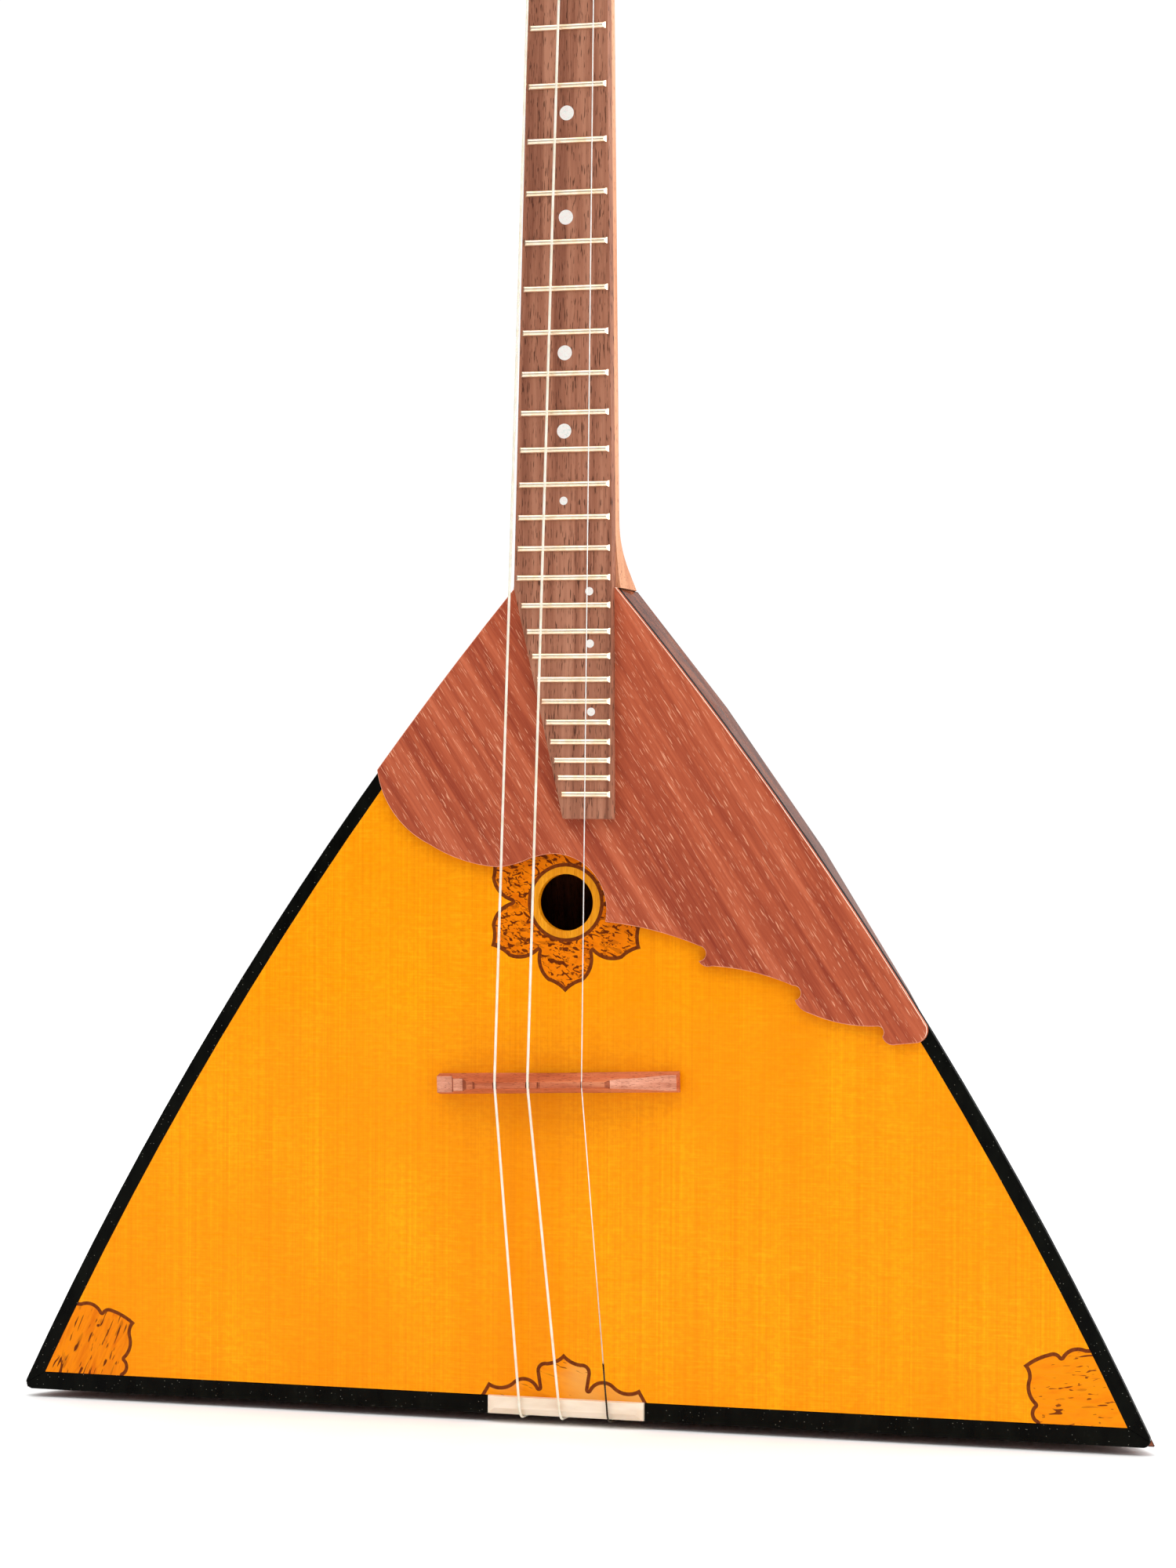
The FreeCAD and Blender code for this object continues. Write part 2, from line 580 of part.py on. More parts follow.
tenon = box(-9, 9, 4, 30, 268, BODY_TOP[1] + 1)
neck = heel.fuse(shaft).fuse(head.cut(front_cut)).fuse(tenon)
nut_seat = box(-FAR, FAR, -FAR, board_under(NUT_Z), NUT_Z - 1, NUT_Z + NUT_W)
veneer = to_head(plate(head_path, 0, VENEER_T)).cut(box(-FAR, FAR, -FAR, FAR, HEEL_TOP_Z, NUT_Z + NUT_W))
neck = neck.cut(nut_seat).cut(board_slab).cut(veneer)
keep("neck_block", neck_block.cut(tenon))

# ---- tuners -------------------------------------------------------------------------------------
POST_BODY_R = 3.0
WIND_R = 2.6
WOUND_R = WIND_R + 0.02  # inside of the wound string
WIND_W = -6.0            # height of the first turn in front of the head
POST_TIP_W = -15.0
PLATE_BACK_W = HEAD_T + PLATE_T
GEAR_T = 3.0
GEAR_W0 = GEAR_W - GEAR_T / 2
BUSH_R = 4.4
BUSH_FLANGE_R = 5.6
BUSH_FLANGE_T = 1.0
BUSH_L = 7.0
WORM_SHAFT_R = 1.5
LUG_U0 = 5.9
LUG_U1 = 7.5
THREAD_TURNS = 3
LUG_HALF_V = 3.4
LUG_TOP_W = GEAR_W + 3.2
BUTTON_U = 30.0
BUTTON_L = 15.0
PLATE_HALF_U = 12.0
PLATE_V0 = 18.0
PLATE_V1 = 112.0
SCREW_PLACES = ((-9.0, 22.0), (9.0, 22.0), (-9.0, 53.5), (9.0, 53.5), (9.0, 108.0), (-9.0, 108.0))


def local_cylinder(radius, u, v, w0, w1):
    return Part.makeCylinder(radius, w1 - w0, V(u, w0, v), V(0, 1, 0))


def local_revolve(profile, u, v):
    """Solid of revolution about the depth direction; profile is (w, radius)."""
    return revolve_profile(profile, V(u, 0, v), V(0, 1, 0), V(1, 0, 0))


plate_shape = box(-PLATE_HALF_U, PLATE_HALF_U, PLATE_W0, PLATE_BACK_W, PLATE_V0, PLATE_V1)
plate_corners = [e for e in plate_shape.Edges if abs(e.Length - PLATE_T) < 1e-6]
tuner_plate = plate_shape.makeFillet(4.0, plate_corners)
bushings = []
head_cuts = []
for n in (1, 2, 3):
    v = POST_V[n]
    worm_v = v + WORM_OFFSET
    tuner_plate = tuner_plate.cut(local_cylinder(POST_BODY_R + FIT, 0, v, PLATE_W0 - 1, PLATE_BACK_W + 1))
    for u0, u1 in ((-LUG_U1, -LUG_U0), (LUG_U0, LUG_U1)):
        lug = box(u0, u1, PLATE_BACK_W, LUG_TOP_W, worm_v - LUG_HALF_V, worm_v + LUG_HALF_V)
        round_edges = [e for e in lug.Edges if e.BoundBox.XLength > 1 and e.BoundBox.YMin > LUG_TOP_W - 0.01]
        tuner_plate = tuner_plate.fuse(lug.makeFillet(2.4, round_edges))
    bore = Part.makeCylinder(WORM_SHAFT_R + FIT, 30, V(-15, GEAR_W, worm_v), V(1, 0, 0))
    tuner_plate = tuner_plate.cut(bore)
    bushing = local_revolve([(-BUSH_FLANGE_T, POST_BODY_R + FIT), (-BUSH_FLANGE_T, BUSH_FLANGE_R - 0.5),
                             (-BUSH_FLANGE_T + 0.5, BUSH_FLANGE_R), (0.0, BUSH_FLANGE_R), (0.0, BUSH_R),
                             (BUSH_L, BUSH_R), (BUSH_L, POST_BODY_R + FIT)], 0, v)
    bushings.append(to_head(bushing))
    head_cuts.append(local_cylinder(BUSH_R, 0, v, -1, BUSH_L))
    head_cuts.append(local_cylinder(POST_BODY_R + 0.3, 0, v, BUSH_L - 1, HEAD_T + 1))
screws = []
SCREW_R = 1.2
for u, v in SCREW_PLACES:
    profile = [(HEAD_T - 8.5, 0.0), (HEAD_T - 7.0, SCREW_R), (PLATE_BACK_W, SCREW_R), (PLATE_BACK_W, 2.4),
               (PLATE_BACK_W + 0.6, 2.2), (PLATE_BACK_W + 1.2, 1.4), (PLATE_BACK_W + 1.4, 0.0)]
    screw = local_revolve(profile, u, v)
    screw = screw.cut(box(u - 3, u + 3, PLATE_BACK_W + 0.8, PLATE_BACK_W + 2, v - 0.3, v + 0.3))
    screws.append(to_head(screw))
    head_cuts.append(local_cylinder(SCREW_R + WOOD_GLUE, u, v, HEAD_T - 9, PLATE_BACK_W))
head_cut = to_head(Part.makeCompound(head_cuts))
tuner_plate = to_head(tuner_plate)
screw_holes = [to_head(local_cylinder(SCREW_R + WOOD_GLUE, u, v, PLATE_W0 - 1, PLATE_BACK_W + 1))
               for u, v in SCREW_PLACES]
tuner_plate = tuner_plate.cut(Part.makeCompound(screw_holes))
keep("neck", neck.cut(head_cut))
keep("head_plate", veneer.cut(head_cut))
keep("tuner_plate", tuner_plate)
keep("tuner_plate_screws", *screws)
keep("post_bushings", *bushings)


def gear_shape():
    """Wheel with straight flanks, thin enough for the worm's slanted thread. A gap faces up the head."""
    half_root, half_pitch, half_tip = 0.150, 0.088, 0.040
    root_r, tip_r = GEAR_PITCH_R - 1.2, GEAR_PITCH_R + 0.85
    corners = []
    for k in range(GEAR_TEETH):
        middle = math.pi / 2 - 2 * math.pi * (k + 0.5) / GEAR_TEETH
        for turn, radius in ((half_root, root_r), (half_pitch, GEAR_PITCH_R), (half_tip, tip_r),
                             (-half_tip, tip_r), (-half_pitch, GEAR_PITCH_R), (-half_root, root_r)):
            corners.append(V(math.cos(middle + turn) * radius, GEAR_W0, math.sin(middle + turn) * radius))
    wheel = polygon_face(corners).extrude(V(0, GEAR_T, 0))
    return wheel.cut(local_cylinder(GEAR_BORE_R + WOOD_GLUE, 0, 0, 0, 40))


def worm_shape(side):
    """Worm with its shaft along x. The thread crosses the gear's side at whole pitches from the middle."""
    crest_r, core_r = WORM_PITCH_R + 0.9, 1.9
    length = THREAD_TURNS * WORM_PITCH
    helix = Part.makeHelix(WORM_PITCH, length, core_r)
    half_crest, half_core = 0.2, 0.78
    inner = core_r - 0.25
    corners = [V(inner, 0, -half_core), V(crest_r, 0, -half_crest), V(crest_r, 0, half_crest),
               V(inner, 0, half_core)]
    pipe = Part.BRepOffsetAPI.MakePipeShell(Part.Wire(helix.Edges))
    pipe.setFrenetMode(True)
    pipe.add(Part.makePolygon(corners + [corners[0]]))
    pipe.build()
    pipe.makeSolid()
    thread = Part.Solid(pipe.shape())
    thread.translate(V(0, 0, -length / 2))
    thread.rotate(V(0, 0, 0), V(0, 0, 1), 180)
    core = Part.makeCylinder(core_r, length + 1.8, V(0, 0, -length / 2 - 0.9))
    far_end = LUG_U1 + 0.8
    near_end = BUTTON_U + BUTTON_L - 3.0
    shaft_part = Part.makeCylinder(WORM_SHAFT_R, far_end + near_end, V(0, 0, -far_end))
    if side < 0:
        shaft_part.rotate(V(0, 0, 0), V(1, 0, 0), 180)
    worm = thread.fuse(core).fuse(shaft_part)
    # the helix's x direction points at the gear (down the head), its axis lies across the head
    matrix = FreeCAD.Matrix(0, 0, 1, 0, 0, 1, 0, 0, -1, 0, 0, 0, 0, 0, 0, 1)
    return worm.transformGeometry(matrix)


GEAR_BORE_R = 2.0
gear = gear_shape()
for n in (1, 2, 3):
    v = POST_V[n]
    post = local_revolve([
        (POST_TIP_W, 0.0), (POST_TIP_W, 1.6), (POST_TIP_W + 0.9, 2.8), (POST_TIP_W + 3.4, 3.2),
        (POST_TIP_W + 4.6, WIND_R), (-2.6, WIND_R), (-1.6, POST_BODY_R), (PLATE_BACK_W + 0.3, POST_BODY_R),
        (PLATE_BACK_W + 0.3, 4.2), (GEAR_W0, 4.2), (GEAR_W0, GEAR_BORE_R), (GEAR_W0 + GEAR_T, GEAR_BORE_R),
        (GEAR_W0 + GEAR_T, 2.9), (GEAR_W0 + GEAR_T + 0.7, 2.3), (GEAR_W0 + GEAR_T + 0.9, 0.0)], 0, v)
    post = post.cut(Part.makeCylinder(0.8, 12, V(-6, POST_TIP_W + 6.2, v), V(1, 0, 0)))
    keep("string_post_%d" % n, to_head(post))
    wheel = gear.copy()
    wheel.translate(V(0, 0, v))
    keep("post_gear_%d" % n, to_head(wheel))
    radius = STRING_R[n]
    turns = 8 if n == 1 else 4
    pitch = 2 * radius + 0.02
    corners = [(WIND_W - radius, WOUND_R)]
    for k in range(turns):
        for along, out in ((-1.0, 0.7), (-0.6, 1.7), (0.0, 2.0), (0.6, 1.7), (1.0, 0.7)):
            corners.append((WIND_W + k * pitch + along * radius, WOUND_R + out * radius))
    corners.append((corners[-1][0], WOUND_R))
    keep("string_winding_%d" % n, to_head(local_revolve(corners, 0, v)))
    worm = worm_shape(BUTTON_SIDE[n])
    worm.translate(V(0, GEAR_W, v + WORM_OFFSET))
    keep("worm_%d" % n, to_head(worm))
    button = revolve_profile([(0.0, WORM_SHAFT_R + WOOD_GLUE), (0.0, 3.0), (1.6, 3.4), (3.2, 5.2), (5.6, 6.4),
                              (9.5, 6.6), (13.0, 5.6), (14.6, 3.8), (BUTTON_L, 2.0), (BUTTON_L, 0.0),
                              (BUTTON_L - 2.8, 0.0), (BUTTON_L - 2.8, WORM_SHAFT_R + WOOD_GLUE)],
                             V(BUTTON_SIDE[n] * BUTTON_U, GEAR_W, v + WORM_OFFSET),
                             V(BUTTON_SIDE[n], 0, 0), V(0, 1, 0))
    keep("tuner_button_%d" % n, to_head(button))

# ---- strings ------------------------------------------------------------------------------------
NUT_TOP_Y = board_top(NUT_Z) - 1.9
STRING_GAP = 0.06
BRIDGE_Y = -12.0
TWIST_R = 0.42
TWIST_TOP_Z = 20.0
LOOP_Z = -0.95


def tube(points, radius):
    """Round tube along straight runs joined by tangent arcs."""
    edges = []
    here = points[0]
    for before, corner, after in zip(points, points[1:], points[2:]):
        into = (before - corner).normalize()
        out = (after - corner).normalize()
        turn = math.pi - into.getAngle(out)
        shorter = min((before - corner).Length, (after - corner).Length)
        bend = min(0.45 * shorter / math.tan(turn / 2), 40.0)
        reach = bend * math.tan(turn / 2)
        start, end = corner + into * reach, corner + out * reach
        middle = corner + (into + out).normalize() * (bend / math.cos(turn / 2) - bend)
        edges.append(Part.makeLine(here, start))
        edges.append(Part.Arc(start, middle, end).toShape())
        here = end
    edges.append(Part.makeLine(here, points[-1]))
    circle = Part.makeCircle(radius, points[0], points[1] - points[0])
    pipe = Part.BRepOffsetAPI.MakePipeShell(Part.Wire(edges))
    pipe.add(Part.Wire(circle))
    pipe.build()
    pipe.makeSolid()
    return Part.Solid(pipe.shape())


def pin_x(n):
    return SADDLE_X[n] + 1.6


def tail_route(n, r):
    """From the loop on the pin, under the saddle and round its front edge."""
    low = -r - STRING_GAP
    return [V(pin_x(n), PIN_Y - PIN_R - 2 * r - 0.3, low), V(SADDLE_X[n] + 0.9, 6.0, low),
            V(SADDLE_X[n] + 0.3, SADDLE_TOP_Y + 1.2 - r, low + 0.1),
            V(SADDLE_X[n], SADDLE_TOP_Y - r - 0.25, 2.4)]


def string_heights(n):
    r = STRING_R[n]
    bridge = V(BRIDGE_X[n], BRIDGE_Y - r, BRIDGE_Z)
    nut = V(NUT_X[n], NUT_TOP_Y - r, NUT_Z + 1.2)
    nut_back = V(NUT_X[n] * 0.985, NUT_TOP_Y - r + 0.5, NUT_Z + 4.4)
    offset = WOUND_R + 3 * r + STRING_GAP
    end = head_point(POST_SIDE[n] * offset, POST_V[n], WIND_W)
    return bridge, nut, nut_back, end


for n in (1, 2, 3):
    r = STRING_R[n]
    bridge, nut, nut_back, end = string_heights(n)
    loop = Part.makeTorus(PIN_R + r + 0.05, r, V(pin_x(n), PIN_Y, LOOP_Z), V(0, 0, 1))
    if n == 1:
        tail = tail_route(n, TWIST_R)
        share = (TWIST_TOP_Z - tail[-1].z) / (bridge.z - tail[-1].z)
        twist_top = tail[-1] + (bridge - tail[-1]) * share
        above = tail[-1] + (bridge - tail[-1]) * (share + 0.001)
        twisted = tube(tail + [twist_top], TWIST_R)
        keep("string_1", tube([above, bridge, nut, nut_back, end], r), twisted, loop)
    else:
        keep("string_%d" % n, tube(tail_route(n, r) + [bridge, nut, nut_back, end], r), loop)

pins = []
for n in (1, 2, 3):
    shank = Part.makeCylinder(PIN_R, PIN_DROP + PIN_L, V(pin_x(n), PIN_Y, -PIN_DROP))
    pin_head = revolve_profile([(0.0, 0.0), (0.0, PIN_HEAD_R - 0.8), (0.5, PIN_HEAD_R), (0.9, PIN_HEAD_R),
                                (1.2, 0.0)], V(pin_x(n), PIN_Y, -PIN_DROP - 0.4), V(0, 0, 1), V(1, 0, 0))
    pins.append(shank.fuse(pin_head))
    pin_hole = Part.makeCylinder(PIN_R + WOOD_GLUE, PIN_L + 2.0, V(pin_x(n), PIN_Y, -1))
    tail_board = tail_board.cut(pin_hole)
    tail_block = tail_block.cut(pin_hole)
keep("tail_pins", *pins)
keep("tail_board", tail_board)
keep("tail_block", tail_block)

# ---- nut and bridge -----------------------------------------------------------------------------
nut_y = NUT_TOP_Y - 0.5
nut_shape = bar([(board_under(NUT_Z), NUT_Z), (nut_y + 0.3, NUT_Z), (nut_y, NUT_Z + 0.5),
                 (nut_y + 0.5, NUT_Z + 2.8), (nut_y + 1.6, NUT_Z + NUT_W),
                 (board_under(NUT_Z), NUT_Z + NUT_W)], 0.1 - NUT_HALF, NUT_HALF - 0.1)
for n in (1, 2, 3):
    r = STRING_R[n] + 0.12
    bridge, nut, nut_back, end = string_heights(n)
    before = nut + (bridge - nut) * (3.0 / (bridge - nut).Length)
    after = nut_back + (end - nut_back) * (3.0 / (end - nut_back).Length)
    for start, stop in ((before, nut), (nut, nut_back), (nut_back, after)):
        nut_shape = nut_shape.cut(cylinder(r, start, stop)).cut(Part.makeSphere(r, stop))
keep("nut", nut_shape)

BRIDGE_MID_X = -2.0
BRIDGE_BASE_T = 7.2
BRIDGE_RIDGE_T = 2.0
BRIDGE_H = -BRIDGE_Y + 0.5
BRIDGE_TURN = 1.9
NOTCH_SPARE = 0.19       # room round the strings, for when the bridge slides
bridge_elevation = [(-43.8, 0.0), (-43.8, -4.4), (-38.2, -4.4), (-36.8, -7.4), (-33.4, -7.4),
                    (-31.0, -10.6), (-28.6, -10.8), (-27.2, -BRIDGE_H), (20.0, -BRIDGE_H), (21.4, -10.6),
                    (25.0, -9.0), (27.4, -9.0), (31.0, -8.2, 35.4, -6.8), (39.6, -5.4, 43.8, -5.0),
                    (43.8, 0.0), (27.0, 0.0), (0.0, -1.6, -27.0, 0.0)]
bridge_face = path_face(bridge_elevation, lambda x, y: V(x, y, -BRIDGE_BASE_T))
bridge_slab = bridge_face.extrude(V(0, 0, 2 * BRIDGE_BASE_T))
half_base, half_ridge = BRIDGE_BASE_T / 2, BRIDGE_RIDGE_T / 2
taper = bar([(0, -half_base), (-1.2, -half_base), (-BRIDGE_H, -half_ridge), (-BRIDGE_H - 1, -half_ridge),
             (-BRIDGE_H - 1, half_ridge), (-BRIDGE_H, half_ridge), (-1.2, half_base),
             (0, half_base)], -FAR, FAR)
bridge_shape = bridge_slab.common(taper)
bridge_shape.rotate(V(0, 0, 0), V(0, 1, 0), -BRIDGE_TURN)
bridge_shape.translate(V(BRIDGE_MID_X, -STRING_GAP / 2, BRIDGE_Z))
for n in (1, 2, 3):
    peak, nut, nut_back, end = string_heights(n)
    tail = tail_route(n, TWIST_R if n == 1 else STRING_R[n])[-1]
    r = STRING_R[n] + NOTCH_SPARE
    for far in (tail, nut):
        way = (far - peak).normalize() * 6.0
        bridge_shape = bridge_shape.cut(cylinder(r, peak - way * 0.02, peak + way))
spare = Part.makeCylinder(0.6, 8, V(-6.0, BRIDGE_Y - 0.4, BRIDGE_Z - 4), V(0, 0, 1))
keep("bridge", bridge_shape.cut(spare))

# ---- export -------------------------------------------------------------------------------------
origin_shift = export_all()
for n in (1, 2, 3):
    print("post", n, head_point(0, POST_V[n], GEAR_W) + origin_shift, "axis", HEAD_BACK)
    print("worm", n, head_point(0, POST_V[n] + WORM_OFFSET, GEAR_W) + origin_shift)
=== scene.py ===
"""Looks of the balalaika: materials, eased edges, wound strings, light and camera. Metres throughout."""
import json
import math

import bmesh
import bpy
from mathutils import Matrix, Vector


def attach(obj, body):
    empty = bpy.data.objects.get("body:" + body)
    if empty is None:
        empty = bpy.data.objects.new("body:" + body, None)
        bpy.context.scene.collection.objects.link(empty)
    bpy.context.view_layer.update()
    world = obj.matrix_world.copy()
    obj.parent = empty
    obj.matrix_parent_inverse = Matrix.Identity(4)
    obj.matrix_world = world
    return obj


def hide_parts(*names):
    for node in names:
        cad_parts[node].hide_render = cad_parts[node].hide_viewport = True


MM = 0.001
WELD = 0.002 * MM    # vertices closer than this are one
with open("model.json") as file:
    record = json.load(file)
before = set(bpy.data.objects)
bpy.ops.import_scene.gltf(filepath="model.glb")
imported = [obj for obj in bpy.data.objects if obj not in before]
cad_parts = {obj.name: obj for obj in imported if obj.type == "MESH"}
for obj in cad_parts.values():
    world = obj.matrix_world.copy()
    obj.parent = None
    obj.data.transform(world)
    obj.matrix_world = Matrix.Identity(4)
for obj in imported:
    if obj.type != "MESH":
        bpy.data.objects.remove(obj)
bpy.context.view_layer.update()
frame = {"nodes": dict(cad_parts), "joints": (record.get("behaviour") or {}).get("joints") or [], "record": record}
nodes = frame["nodes"]
joints = {joint["name"]: joint for joint in frame["joints"]}


# ---- surfaces ------------------------------------------------------------------------------------
def tone(red, green, blue):
    """Linear colour from screen values of 0 to 255."""
    def linear(value):
        share = value / 255
        return share / 12.92 if share <= 0.04045 else ((share + 0.055) / 1.055) ** 2.4
    return (linear(red), linear(green), linear(blue), 1.0)


class Surface:
    """One procedural material. Its methods add shader nodes and give back their output sockets."""

    def __init__(self, name, shift=0.0, **constants):
        self.shift = shift
        self.material = bpy.data.materials.new(name)
        self.material.use_nodes = True
        self.tree = self.material.node_tree
        self.shader = self.tree.nodes["Principled BSDF"]
        self.place = self.tree.nodes.new("ShaderNodeTexCoord").outputs["Object"]
        for key, value in constants.items():
            self.shader.inputs[key.replace("_", " ")].default_value = value

    def node(self, kind, inputs, **settings):
        made = self.tree.nodes.new(kind)
        for key, value in settings.items():
            setattr(made, key, value)
        for key, value in inputs.items():
            self.feed(made.inputs[key], value)
        return made

    def feed(self, socket, value):
        if isinstance(value, bpy.types.NodeSocket):
            self.tree.links.new(value, socket)
        else:
            socket.default_value = value

    def at(self, size, turn):
        """Coordinates that count in steps of size (mm along x, y, z), turned by degrees about x, y, z."""
        inputs = {"Vector": self.place, "Scale": [s * MM for s in size], "Location": [self.shift * MM] * 3,
                  "Rotation": [math.radians(a) for a in turn]}
        return self.node("ShaderNodeMapping", inputs, vector_type="TEXTURE").outputs[0]

    def noise(self, size, turn=(0, 0, 0), detail=2.0, rough=0.5, distortion=0.0):
        inputs = {"Vector": self.at(size, turn), "Scale": 1.0, "Detail": detail,
                  "Roughness": rough, "Distortion": distortion}
        return self.node("ShaderNodeTexNoise", inputs).outputs[0]

    def cells(self, size):
        inputs = {"Vector": self.at(size, (0, 0, 0)), "Scale": 1.0}
        return self.node("ShaderNodeTexVoronoi", inputs).outputs["Distance"]

    def ramp(self, value, stops):
        """Piecewise blend. Each stop is (position, number or colour)."""
        made = self.node("ShaderNodeValToRGB", {"Fac": value})
        elements = made.color_ramp.elements
        while len(elements) < len(stops):
            elements.new(0.5)
        for element, (position, colour) in zip(elements, stops):
            element.position = position
            element.color = (colour, colour, colour, 1.0) if isinstance(colour, float) else colour
        return made.outputs[0]

    def mix(self, share, a, b):
        """Share 0 gives a and share 1 gives b. Numbers 6, 7 and 2 are the node's colour sockets."""
        inputs = {0: share, 6: a, 7: b}
        return self.node("ShaderNodeMix", inputs, data_type="RGBA").outputs[2]

    def colour(self, value):
        self.feed(self.shader.inputs["Base Color"], value)

    def roughness(self, value, low, high):
        made = self.node("ShaderNodeMapRange", {"Value": value, "To Min": low, "To Max": high})
        self.feed(self.shader.inputs["Roughness"], made.outputs[0])

    def relief(self, height, depth):
        """Bump of that depth in mm."""
        inputs = {"Height": height, "Distance": depth * MM, "Strength": 1.0}
        self.feed(self.shader.inputs["Normal"], self.node("ShaderNodeBump", inputs).outputs[0])


def spruce():
    """Amber lacquer over straight-grained spruce, with silk across the grain."""
    s = Surface("lacquered_spruce", Specular_IOR_Level=0.05, Coat_Weight=0.04, Coat_Roughness=0.05)
    rings = s.noise((0.6, 30, 150), detail=4, rough=0.7)
    wide = s.noise((14, 30, 260), detail=3)
    silk = s.noise((11, 4, 0.6), detail=3, rough=0.6)
    mottle = s.noise((2.2, 3, 1.6), detail=4, rough=0.7)
    cloud = s.noise((60, 40, 85), detail=2.5)
    body = s.ramp(rings, [(0.32, tone(234, 136, 0)), (0.50, tone(250, 155, 2)), (0.68, tone(255, 170, 12))])
    body = s.mix(s.ramp(wide, [(0.38, 0.34), (0.60, 0.0)]), body, tone(232, 132, 0))
    body = s.mix(s.ramp(silk, [(0.48, 0.0), (0.66, 0.34)]), body, tone(255, 184, 26))
    body = s.mix(s.ramp(mottle, [(0.40, 0.42), (0.56, 0.0)]), body, tone(230, 130, 0))
    body = s.mix(s.ramp(cloud, [(0.38, 0.42), (0.62, 0.0)]), body, tone(234, 132, 0))
    s.colour(body)
    s.roughness(silk, 0.22, 0.36)
    s.relief(s.mix(0.5, rings, silk), 0.018)
    return s.material


def black_edge():
    """Black lacquer with dust under it and small uneven patches."""
    s = Surface("black_lacquer", Specular_IOR_Level=0.03, Coat_Weight=0.02, Coat_Roughness=0.08)
    specks = s.cells((1.5, 1.5, 1.5))
    patches = s.noise((6, 6, 14), detail=4, rough=0.6)
    body = s.ramp(patches, [(0.35, tone(3, 3, 2)), (0.65, tone(11, 12, 8))])
    s.colour(s.mix(s.ramp(specks, [(0.06, 0.8), (0.11, 0.0)]), body, tone(128, 128, 116)))
    s.roughness(patches, 0.16, 0.34)
    s.relief(s.noise((1.6, 1.6, 5), detail=3), 0.02)
    return s.material


def burl(name, light, dark, mark, size, turn, clear, curl, cloudy=None):
    """Burl veneer: a softly streaked ground with small dark eyes of that size in mm.

    clear is how rare the eyes are, curl bends them, and cloudy is a paler tone that drifts over one side."""
    s = Surface(name, Specular_IOR_Level=0.05, Coat_Weight=0.04, Coat_Roughness=0.06)
    ground = s.noise([v * 2.2 for v in size], turn, detail=4, rough=0.6, distortion=0.5)
    body = s.ramp(ground, [(0.34, dark), (0.50, light), (0.78, dark)])
    if cloudy:
        body = s.mix(s.ramp(s.noise((26, 30, 22), detail=1.5), [(0.50, 0.0), (0.66, 0.7)]), body, cloudy)
    for scale, rarer, strength in ((1.0, 0.0, 0.95), (0.62, 0.03, 0.85), (1.5, 0.01, 0.35)):
        eyes = s.noise([v * scale for v in size], turn, detail=0.6, rough=0.5, distortion=curl)
        edge = clear + rarer
        body = s.mix(s.ramp(eyes, [(edge, 0.0), (edge + 0.035, strength)]), body, mark)
    s.colour(body)
    s.roughness(ground, 0.2, 0.34)
    s.relief(ground, 0.01)
    return s.material


def plain_line(name, colour, darker):
    """Narrow veneer line with grain that changes along it."""
    s = Surface(name, Specular_IOR_Level=0.05, Coat_Weight=0.04, Coat_Roughness=0.06)
    grain = s.noise((1.2, 2, 1.2), detail=4, rough=0.65)
    s.colour(s.ramp(grain, [(0.35, darker), (0.62, colour)]))
    s.roughness(grain, 0.22, 0.36)
    s.relief(grain, 0.008)
    return s.material


def open_grain(name, light, middle, dark, pore, turn, size=(1.0, 4.0, 38.0), pores=(0.16, 1.0, 3.2),
               pore_share=0.6, gloss=(0.42, 0.6), coat=0.0, shift=0.0):
    """Hardwood with long figure, fine fibre and short pores along one direction. Sizes in mm."""
    s = Surface(name, shift, Specular_IOR_Level=0.1, Coat_Weight=coat, Coat_Roughness=0.07)
    figure = s.noise([v * 5 for v in size], turn, detail=3, rough=0.6, distortion=0.5)
    fibre = s.noise(size, turn, detail=4, rough=0.7, distortion=0.2)
    thin = s.noise([size[0] * 0.25, size[1], size[2] * 0.3], turn, detail=3, rough=0.6)
    holes = s.noise(pores, turn, detail=1.5, rough=0.5)
    body = s.ramp(figure, [(0.32, dark), (0.5, middle), (0.68, light)])
    body = s.mix(s.ramp(fibre, [(0.36, 0.45), (0.56, 0.0)]), body, dark)
    body = s.mix(s.ramp(thin, [(0.48, 0.0), (0.74, 0.38)]), body, light)
    body = s.mix(s.ramp(holes, [(pore_share, 0.0), (pore_share + 0.05, 0.75)]), body, pore)
    s.colour(body)
    s.roughness(fibre, *gloss)
    s.relief(s.mix(0.6, fibre, s.ramp(holes, [(pore_share, 1.0), (pore_share + 0.06, 0.0)])), 0.03)
    return s.material


def rib_wood(name, level, lean, shift):
    """Reddish brown tone wood under clear lacquer. lean tilts its grain by degrees."""
    def shade(red, green, blue):
        return tone(min(red * level, 255), green * level, blue * level)
    return open_grain(name, shade(152, 84, 52), shade(120, 60, 36), shade(74, 32, 18), shade(46, 20, 12),
                      (0, lean, 0), size=(1.2, 1.6, 52.0), gloss=(0.12, 0.26), coat=0.3, shift=shift)


def moulded(name, light, dark, see_through=0.0):
    """Polished plastic with faint streaks, like the flow lines of imitation ivory."""
    s = Surface(name, Specular_IOR_Level=0.45, Subsurface_Weight=0.15, Subsurface_Scale=1.5 * MM,
                Transmission_Weight=see_through)
    streaks = s.noise((18, 8, 5), detail=3, rough=0.5, distortion=0.3)
    s.colour(s.ramp(streaks, [(0.35, dark), (0.6, light)]))
    s.roughness(streaks, 0.16, 0.3)
    s.relief(s.noise((0.5, 0.5, 0.5), detail=2), 0.004)
    return s.material


